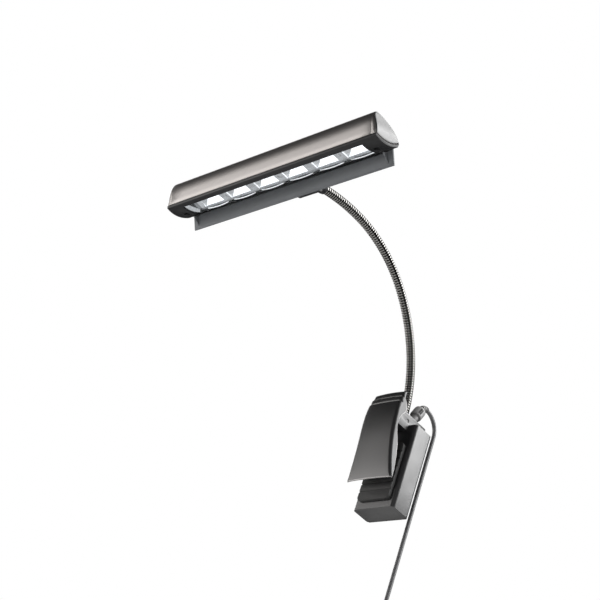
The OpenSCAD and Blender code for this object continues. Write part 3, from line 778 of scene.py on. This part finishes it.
def cap_reach(v):
    """How far the leaning cap face stands from the middle of the head at height v."""
    return HEAD_HALF - CAP_GAP - CAP_DEPTH * max(0.0, (v - LEAN_FROM) / LEAN_HEIGHT) ** LEAN_POWER


def cap_edge(p):
    """Depth of the soft edge at a point of the outline: wide at the front, small below and behind."""
    front = smoothstep((p.y - EDGE_LOW) / EDGE_RISE) * smoothstep((EDGE_REAR - p.x) / EDGE_FALL)
    room = cap_reach(p.y) - CAP_IN - EDGE_ROOM_LEFT
    return min(CAP_LOW_EDGE + (CAP_EDGE - CAP_LOW_EDGE) * front, EDGE_ROOM_SHARE * room)


def cap_loops(side):
    """Rings of a cap, from the shell round the soft edge and in towards the middle of the face."""
    loops = [[in_head(side * (CAP_IN + CAP_GAP), *(p + (CAP_MIDDLE - p).normalized() * CAP_ROOT_INSET))
              for p in cap_outline]]
    steps = [(0.0, i / CAP_ARC) for i in range(CAP_ARC + 1)] + [(share, 1.0) for share in CAP_FACE_SHARES]
    for share, arc in steps:
        a = math.pi / 2 * arc
        loop = []
        for p in cap_outline:
            inward, edge = CAP_MIDDLE - p, cap_edge(p)
            inset = min(CAP_EDGE_IN, EDGE_IN_SHARE * edge) * (1 - math.cos(a)) + CAP_GAP
            at = p + inward.normalized() * (inset + share * max(0.0, inward.length - inset))
            loop.append(in_head(side * (cap_reach(at.y) - edge * (1 - math.sin(a))), *at))
        loops.append(loop)
    return loops


for side, node in ((-1, "end_cap_left"), (1, "end_cap_right")):
    loops = cap_loops(side)
    rim = rings(node + "_rim", loops[:CAP_RIM_RINGS + 1], HEAD, ends=OPEN, angle=60.0)
    face = rings(node + "_face", loops[CAP_RIM_RINGS:], CAP, ends=(False, True), angle=60.0)
    place(rim, "head", "head_black")
    place(face, "head", "cap_black", node)

from_node("bezel", "bezel_rounded", 0.3, UNDER, "head", "underside_black", 2)
from_node("glare_shield", "glare_shield_rounded", 0.3, SHIELD_PAINTED_LIGHT, "head", "underside_black", 2)
from_node("neck_mount", "neck_mount_rounded", 0.6, UNDER, "head", "underside_black", 3)
from_node("mount_lid", "mount_lid_rounded", 0.3, UNDER, "head", "underside_black", 2)
from_node("switch_button", "switch_button_rounded", 0.5, BUTTON, "button", "button_grey", 3)
from_node("window", "window_plate", 0.12, WINDOW, "head", "window_clear", 1)

# Stepped collar round the neck's upper end.
COLLAR_STEPS = ((0.0, 3.3), (0.0, 3.6), (0.25, 3.88), (1.6, 3.9), (1.75, 4.1), (2.0, 4.2), (11.0, 4.2),
                (11.8, 4.1), (12.0, 3.8))
COLLAR_SIDES = 56
neck_end, neck_out = neck_at(NECK_TURN)
collar = turned("neck_collar", COLLAR_STEPS, neck_end, Vector((0, -neck_out.z, neck_out.y)), UNDER,
                sides=COLLAR_SIDES)
place(collar, "head", "underside_black", "neck_ferrule")


# ---------------------------------------------------------------- lit cells, in painted light
# Each cell is a sloped panel between two ridges, with a slanted facet on its left; the panel's brightness and
# the grey and dark of the rest are painted light and painted shade.
CELLS = 6
LED_PITCH = 27.2
CELL_MIDDLES = [(i - (CELLS - 1) / 2) * LED_PITCH for i in range(CELLS)]
CELL_HALF = LED_PITCH / 2
CELL_SHARE = 0.999
RIDGE_IN = 9.9
STEP = 0.6
RIDGE_RISE = 0.7
RIDGE_COLUMNS = (0, 1, 5, 6)
FACET_TOP, FACET_FOOT = -1.6, -9.1
# Rows of the panel from the front to the back, as (u, v). The bezel's wall stands just behind, at u = 19.2.
CELL_ROWS = ((5.2, 4.9), (12.2, 4.0), (12.9, 3.1), (16.2, 2.0), (19.0, 0.95), (19.1, -0.9))
# Painted light of each row's faces, in the columns: ridge, step, facet, panel, step, ridge; high values are
# painted reflection of the LEDs, low ones painted shade.
CELL_PAINTED_LIGHT = (
    (0.05, 0.05, 0.04, 0.03, 0.05, 0.05),
    (0.16, 0.30, 0.10, 0.05, 0.10, 0.16),
    (0.17, 0.95, 0.24, 1.45, 0.20, 0.15),
    (0.26, 1.10, 0.45, 1.50, 0.26, 0.30),
    (0.10, 0.12, 0.09, 0.09, 0.09, 0.09),
)
# A narrow rim line of painted highlight across the foot of each panel, curving up at its ends.
RIM_STEPS = 14
RIM_FROM, RIM_SPAN = -7.5, 21.5
RIM_U, RIM_LOW, RIM_MIDDLE, RIM_CURVE = 18.98, -2.3, 4.2, 0.0075
RIM_WIDTH, RIM_STAND = 0.8, 0.12
RIM_PAINTED_LIGHT = 0.95


def column_places(row):
    """x of each column line: the facet's edge runs from the top of the panel to its lower left corner."""
    share = max(0.0, min(1.0, (row - 2) / 2))
    facet = FACET_TOP + (FACET_FOOT - FACET_TOP) * share
    return (-CELL_HALF, -RIDGE_IN, -RIDGE_IN + STEP, facet, RIDGE_IN - STEP, RIDGE_IN, CELL_HALF)


def cell_piece(name, middle):
    """One cell's ridges, steps, facet and panel, each with its painted light."""
    points, faces, glow = [], [], []
    last_row = len(CELL_ROWS) - 1
    for row, (u, v) in enumerate(CELL_ROWS):
        for column, x in enumerate(column_places(row)):
            rise = RIDGE_RISE if column in RIDGE_COLUMNS and row < last_row else 0.0
            points.append(in_head(middle + x * CELL_SHARE, u, v - rise))
    wide = len(column_places(0))
    for row, values in enumerate(CELL_PAINTED_LIGHT):
        for column, value in enumerate(values):
            corner = row * wide + column
            faces.append((corner, corner + 1, corner + wide + 1, corner + wide))
            glow.append(value)
    obj = mesh_from(name, points, faces, REFLECTOR_PAINTED_LIGHT, angle=20.0)
    mark(obj, "glow", "FACE", glow)
    return obj


def rim_line(name, middle):
    """A narrow strip of painted highlight with a raised middle."""
    points = []
    for k in range(RIM_STEPS + 1):
        x = RIM_FROM + RIM_SPAN * k / RIM_STEPS
        v = RIM_LOW + RIM_CURVE * (x - RIM_MIDDLE) ** 2
        points += [in_head(middle + x, RIM_U, v - RIM_WIDTH / 2), in_head(middle + x, RIM_U - RIM_STAND, v),
                   in_head(middle + x, RIM_U, v + RIM_WIDTH / 2)]
    faces = []
    for at in range(0, 3 * RIM_STEPS, 3):
        faces += [(at, at + 1, at + 4, at + 3), (at + 1, at + 2, at + 5, at + 4)]
    obj = mesh_from(name, points, faces, REFLECTOR_PAINTED_LIGHT, angle=60.0)
    mark(obj, "glow", "FACE", [RIM_PAINTED_LIGHT] * len(faces))
    return obj


cells = [cell_piece(f"reflector_cell_{i + 1}", middle) for i, middle in enumerate(CELL_MIDDLES)]
cells += [rim_line(f"rim_line_{i + 1}", middle) for i, middle in enumerate(CELL_MIDDLES)]
for cell in cells:
    place(cell, "head", "reflector_silver")
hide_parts("reflector")


def painted_light_plate(name, low, high, value):
    """A thin plate of painted light between two outlines."""
    count = len(low)
    sides = [(k, (k + 1) % count, count + (k + 1) % count, count + k) for k in range(count)]
    covers = [tuple(range(count)), tuple(range(2 * count - 1, count - 1, -1))]
    obj = mesh_from(name, low + high, covers + sides, REFLECTOR_PAINTED_LIGHT)
    mark(obj, "glow", "FACE", [value] * (count + 2))
    place(obj, "head", "reflector_silver")


# Ends of the window recess, in painted light: a wall at each, pale at the left and dim at the right, and a
# curved band painted dark as shade and a light facet at the left.
# The wall is an outline of (u, v), the band and the facet are outlines of (x, u).
WALL_IN, WALL_OUT = 83.82, 83.97
WALLS = ((-1, "left", 0.42), (1, "right", 0.1))
BAND = ((-76.4, 3.6), (-74.4, 3.6), (-75.2, 7), (-76.6, 10.3), (-78.2, 13.4), (-81, 17.6), (-83.5, 18.6),
        (-83.5, 16.8), (-81.4, 13.6), (-79.4, 10.3), (-77.7, 7))
FACET = ((-74.2, 3.6), (-69.4, 3.6), (-71.2, 8.6), (-74.4, 14.4), (-79.2, 18.6), (-80.6, 17.6), (-78, 13.4),
         (-76.4, 10.3), (-75, 7))
wall_outline = bend((3.5, -2.0), (10, -5.0), (18.9, -2.3), 12) + [Vector((18.9, -0.3)), Vector((3.5, -0.3))]
for side, name, value in WALLS:
    painted_light_plate(f"window_wall_{name}", [in_head(side * WALL_IN, *p) for p in wall_outline],
              [in_head(side * WALL_OUT, *p) for p in wall_outline], value)
for name, outline, low, high, value in (("band", BAND, -0.6, -0.1, 0.035), ("facet", FACET, -0.5, 0.0, 0.34)):
    painted_light_plate(f"window_end_{name}", [in_head(x, u, low) for x, u in outline],
              [in_head(x, u, high) for x, u in outline], value)

# Diodes: low domes that face down from the light board.
DIODE_U, DIODE_V = 10.2, 5.15
DIODE_STEPS = ((0.0, 2.6), (-0.5, 2.5), (-1.0, 1.9), (-1.25, 1.0))
for i, middle in enumerate(CELL_MIDDLES):
    diode = turned(f"diode_dome_{i + 1}", DIODE_STEPS, in_head(middle, DIODE_U, DIODE_V), HEAD_UP, DIODE,
                   sides=24)
    mark(diode, "glow", "POINT", [1.0] * len(diode.data.vertices))
    place(diode, "head", "led_yellow", f"led_{i + 1}")


# ---------------------------------------------------------------- clip lever
# Lines of the lever from its foot to its top: (y, z) for its front and rear, (half width, z) for its side.
lever_front = bend((-9.6, -11.3), (-11.59, -5.41), (-15, 15.25), 24)
lever_front += bend((-15, 15.25), (-18.33, 35.42), (-16.7, 45.6), 30)[1:]
lever_front += [(-15.25, 45.95), (-15.85, 46.8), (-15.9, 48.5), (-15.7, 50.2), (-14.25, 50.55), (-14.7, 51.4),
                (-14.6, 53), (-14.3, 54.8), (-13.1, 56.0)]
lever_rear = [(-7.6, -11.3), (-6.4, -5), (-6.4, 6), (-7.6, 15), (-12.4, 27), (-12.4, 33), (-10.6, 38.2),
              (-7.8, 40.4), (-7.6, 44), (-9, 47.6), (-12, 50.4), (-11.3, 56)]
lever_side = [(19.7, -11.3), (19.95, -10.7), *bend((20, -10.4), (16.4, 6), (15.7, 22), 14),
              (15.4, 36), (14.6, 50), (13.6, 56)]
# Heights of the sections: close together at the foot, where it curls, and round the two ridges at the top.
FOOT_HEIGHTS = (-11.3, -11.1, -10.7, -10.2, -9.4, -8.2, -6.6, -5, -3, -1, 1, 3, 5)
MIDDLE_HEIGHTS = tuple(range(7, 45, 2))
RIDGE_HEIGHTS = (44.4, 45.1, 45.6, 45.77, 45.95, 46.3, 46.8, 47.6, 48.5, 49.4, 50.0, 50.2, 50.38, 50.55, 50.9,
                 51.4, 52.2, 53, 54, 54.8, 55.2, 55.6, 55.85, 56.0)
lever_heights = FOOT_HEIGHTS + MIDDLE_HEIGHTS + RIDGE_HEIGHTS
LEVER_WALL = 1.9
LEVER_CROWN = 0.9
LEVER_CORNER, CORNER_DEPTH_SHARE, CORNER_WIDTH_SHARE = 2.6, 0.8, 0.3
LEAST_FLANK = 0.02
FRONT_STEPS, ROUND_STEPS, FLANK_STEPS = 6, 6, 4
HIGHLIGHT_BELOW = -11.05


def on_line(line, z):
    """The other coordinate, at height z, of a line whose z always rises."""
    for (y0, z0), (y1, z1) in zip(line, line[1:]):
        if z <= z1:
            return y0 + (y1 - y0) * (z - z0) / (z1 - z0)
    return line[-1][0]


def lever_section(z):
    """The lever's crowned front, round corners and flanks at height z, from one flank to the other."""
    half, front, rear = on_line(lever_side, z), on_line(lever_front, z), on_line(lever_rear, z)
    r = min(LEVER_CORNER, CORNER_DEPTH_SHARE * (rear - front), CORNER_WIDTH_SHARE * half)
    right = []
    for i in range(FRONT_STEPS):
        x = (half - r) * i / FRONT_STEPS
        right.append((x, front + LEVER_CROWN * (x / half) ** 2))
    edge = front + LEVER_CROWN * ((half - r) / half) ** 2
    for i in range(ROUND_STEPS + 1):
        a = math.pi / 2 * i / ROUND_STEPS
        right.append((half - r + r * math.sin(a), edge + r * (1 - math.cos(a))))
    for i in range(1, FLANK_STEPS + 1):
        right.append((half, edge + r + max(LEAST_FLANK, rear - edge - r) * i / FLANK_STEPS))
    return [(-x, y, z) for x, y in reversed(right[1:])] + [(x, y, z) for x, y in right]


lever_sections = [lever_section(z) for z in lever_heights]
lever = rings("lever_shell", lever_sections, LEVER, closed=False, ends=OPEN, angle=50.0)
# The bottom edge and the two outer edges are marked 1 for the painted highlight line.
outer_points = (0, len(lever_sections[0]) - 1)
mark(lever, "edge", "POINT", [1.0 if z < HIGHLIGHT_BELOW or k in outer_points else 0.0
                              for z in lever_heights for k in range(len(lever_sections[0]))])
wall = lever.modifiers.new("wall", "SOLIDIFY")
wall.thickness = LEVER_WALL * MM
wall.offset = -1.0
wall.use_quality_normals = True
place(finished(settle(lever), 40.0), "lever", "lever_black", "clip_lever")

from_node("lever_jaw_pad", "lever_pad_rounded", 0.25, RUBBER, "lever", "pad_rubber", 2)
from_node("rear_jaw_pad", "rear_pad_rounded", 0.3, RUBBER, "clip_body", "pad_rubber", 2)
from_node("rear_housing", "housing_rounded", 0.5, HOUSING, "clip_body", "housing_black", 3)
from_node("top_cover", "cover_rounded", 0.35, HOUSING, "clip_body", "housing_black", 2)
from_node("battery_door", "door_rounded", 0.25, HOUSING, "door", "housing_black", 2)

# CAD solids that show as they are, with a material of their own.
KEPT = {
    "battery_1": CELL, "battery_2": CELL, "battery_3": CELL,
    "contact_plate_top": BRASS, "contact_plate_low": BRASS, "driver_board": BOARD, "dc_jack": HOUSING,
    "pivot_pin": STEEL, "lever_spring": STEEL, "spring_arm": STEEL, "led_board": WHITE_BOARD,
    "bezel_screw_left": SCREW, "bezel_screw_right": SCREW, "switch_body": HOUSING,
}
for node, material in KEPT.items():
    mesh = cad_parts[node].data
    mesh.materials.clear()
    mesh.materials.append(material)


# ---------------------------------------------------------------- stage, world and lights
# The floor, in metres: a square this far each way, well below the adapter.
FLOOR_HALF, FLOOR_LEVEL = 1.1, -0.62
FLOOR_CORNERS = ((-1, -1), (1, -1), (1, 1), (-1, 1))
FLOOR = surface("floor_pale", (0.82, 0.82, 0.81), 0.8, vary=0.02, patches=0.6, grain=300.0,
                grain_strength=0.05)
floor_mesh = bpy.data.meshes.new("floor")
floor_mesh.from_pydata([(x * FLOOR_HALF, y * FLOOR_HALF, FLOOR_LEVEL) for x, y in FLOOR_CORNERS], [],
                       [(0, 1, 2, 3)])
add_object("floor", floor_mesh, FLOOR)

# The white surroundings are seen in full but add only a little light.
WORLD_SEEN = 1.0
WORLD_LIGHT = 0.07
world = bpy.data.worlds.new("studio")
bpy.context.scene.world = world
world.use_nodes = True
tree = world.node_tree
background = tree.nodes["Background"]
path = tree.nodes.new("ShaderNodeLightPath")
strength = tree.nodes.new("ShaderNodeMapRange")
strength.inputs["To Min"].default_value = WORLD_LIGHT
strength.inputs["To Max"].default_value = WORLD_SEEN
tree.links.new(path.outputs["Is Camera Ray"], strength.inputs["Value"])
tree.links.new(strength.outputs["Result"], background.inputs["Strength"])
background.inputs["Color"].default_value = (1, 1, 1, 1)

LIGHT_AIM = Vector((0, -0.08, 0.09))
FAR, NEAR, HIGH = 2.2, 1.6, 2.4


def soft_light(name, direction, distance, size, power, colour=(1, 1, 1), tall=None):
    """A square or size by tall light, aimed at the lamp; its distance and sizes are in metres."""
    data = bpy.data.lights.new(name, "AREA")
    data.shape = "RECTANGLE"
    data.size = size
    data.size_y = tall or size
    data.energy = power
    data.color = colour
    light = bpy.data.objects.new(name, data)
    bpy.context.scene.collection.objects.link(light)
    light.location = LIGHT_AIM + Vector(direction).normalized() * distance
    light.rotation_euler = (LIGHT_AIM - light.location).to_track_quat("-Z", "Y").to_euler()


soft_light("key_right_rear", (0.67, 0.51, 0.54), FAR, size=1.6, power=68)
soft_light("fill_left_low", (-0.67, -0.74, -0.02), FAR, size=2.0, power=36, colour=(1.0, 0.975, 0.955),
           tall=0.8)
soft_light("rim_left", (-0.93, 0.1, 0.35), FAR, size=1.0, power=12)
soft_light("front_low", (0.5, -0.75, -0.2), NEAR, size=1.0, power=4)
soft_light("top_wide", (0.5, 0.35, 1.0), HIGH, size=1.6, power=40)

bpy.context.scene.view_settings.view_transform = "Standard"
